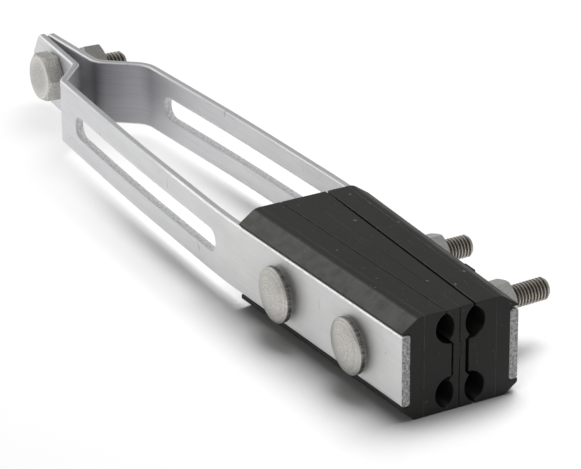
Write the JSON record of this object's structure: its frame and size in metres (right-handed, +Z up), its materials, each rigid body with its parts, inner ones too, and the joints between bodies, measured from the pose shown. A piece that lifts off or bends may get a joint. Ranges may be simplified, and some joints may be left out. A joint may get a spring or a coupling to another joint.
{
  "type": "anchor clamp for bundled overhead cable",
  "caption": "Bolted anchor clamp with moulded jaws that grip bundled overhead conductors between two bent aluminium straps, closed at the tip by a cross bolt.",
  "frame": {"origin": "centre of the jaw block's bottom face", "axes": "+X from the strap tips towards the cable end of the jaws, -Y towards the bolt heads, +Y towards the nuts, +Z up"},
  "size_m": [0.3036, 0.0817, 0.036],
  "materials": {
    "aluminium": "drawn strip with long fine lines, sheared ends",
    "plastic": "black moulded plastic, slightly scuffed",
    "stainless": "dull stainless fasteners"
  },
  "bodies": {
    "left_half": {"left_strap": "aluminium", "left_outer_jaw": "plastic", "clamping_bolt_front": "stainless", "clamping_bolt_rear": "stainless"},
    "left_plate": {"left_inner_plate": "plastic"},
    "right_plate": {"right_inner_plate": "plastic"},
    "right_half": {"right_strap": "aluminium", "right_outer_jaw": "plastic", "flat_washer_front": "stainless", "flat_washer_rear": "stainless"},
    "front_spring_washer": {"spring_washer_front": "stainless"},
    "rear_spring_washer": {"spring_washer_rear": "stainless"},
    "front_nut": {"clamping_nut_front": "stainless"},
    "rear_nut": {"clamping_nut_rear": "stainless"},
    "hook_bolt": {"hook_bolt": "stainless"},
    "hook_nut": {"hook_nut": "stainless"}
  },
  "joints": [
    {"name": "right_half_opening", "type": "slide", "parent": "left_half", "child": "right_half", "axis": [0, 1, 0], "range_m": [0, 0.0018]},
    {"name": "hook_nut_travel", "type": "slide", "parent": "left_half", "child": "hook_nut", "axis": [0, 0.9994, -0.0349], "range_m": [-0.0001, 0.0019]},
    {"name": "left_plate_float", "type": "slide", "parent": "left_half", "child": "left_plate", "axis": [0, 1, 0], "range_m": [-0.0001, 0.0007]},
    {"name": "right_plate_float", "type": "slide", "parent": "left_half", "child": "right_plate", "axis": [0, 1, 0], "range_m": [-0.0001, 0.0013]},
    {"name": "hook_bolt_spin", "type": "hinge", "parent": "left_half", "child": "hook_bolt", "pos_m": [-0.2306, -0.0076, 0.02002], "axis": [0, -0.9994, 0.0349], "range_deg": [-5, 437]},
    {"name": "front_nut_travel", "type": "slide", "parent": "left_half", "child": "front_spring_washer", "axis": [0, 0.9995, 0.0314], "range_m": [0, 0.00875]},
    {"name": "front_nut_spin", "type": "hinge", "parent": "front_spring_washer", "child": "front_nut", "pos_m": [0.0225, 0.02951, 0.01838], "axis": [0, 0.9995, 0.0314], "range_deg": [-5, 2525]},
    {"name": "rear_nut_travel", "type": "slide", "parent": "left_half", "child": "rear_spring_washer", "axis": [0, 1, 0.0035], "range_m": [0, 0.00875]},
    {"name": "rear_nut_spin", "type": "hinge", "parent": "rear_spring_washer", "child": "rear_nut", "pos_m": [-0.0213, 0.03113, 0.01756], "axis": [0, 1, 0.0035], "range_deg": [-5, 2525]}
  ],
  "couplings": [
    {"joint": "hook_nut_travel", "follows": "right_half_opening", "ratio": 1},
    {"joint": "left_plate_float", "follows": "right_half_opening", "ratio": 0.33333},
    {"joint": "right_plate_float", "follows": "right_half_opening", "ratio": 0.66667},
    {"joint": "hook_bolt_spin", "follows": "right_half_opening", "rad_per_m": 4188.8},
    {"joint": "front_nut_spin", "follows": "front_nut_travel", "rad_per_m": 5026.5},
    {"joint": "rear_nut_spin", "follows": "rear_nut_travel", "rad_per_m": 5026.5}
  ]
}
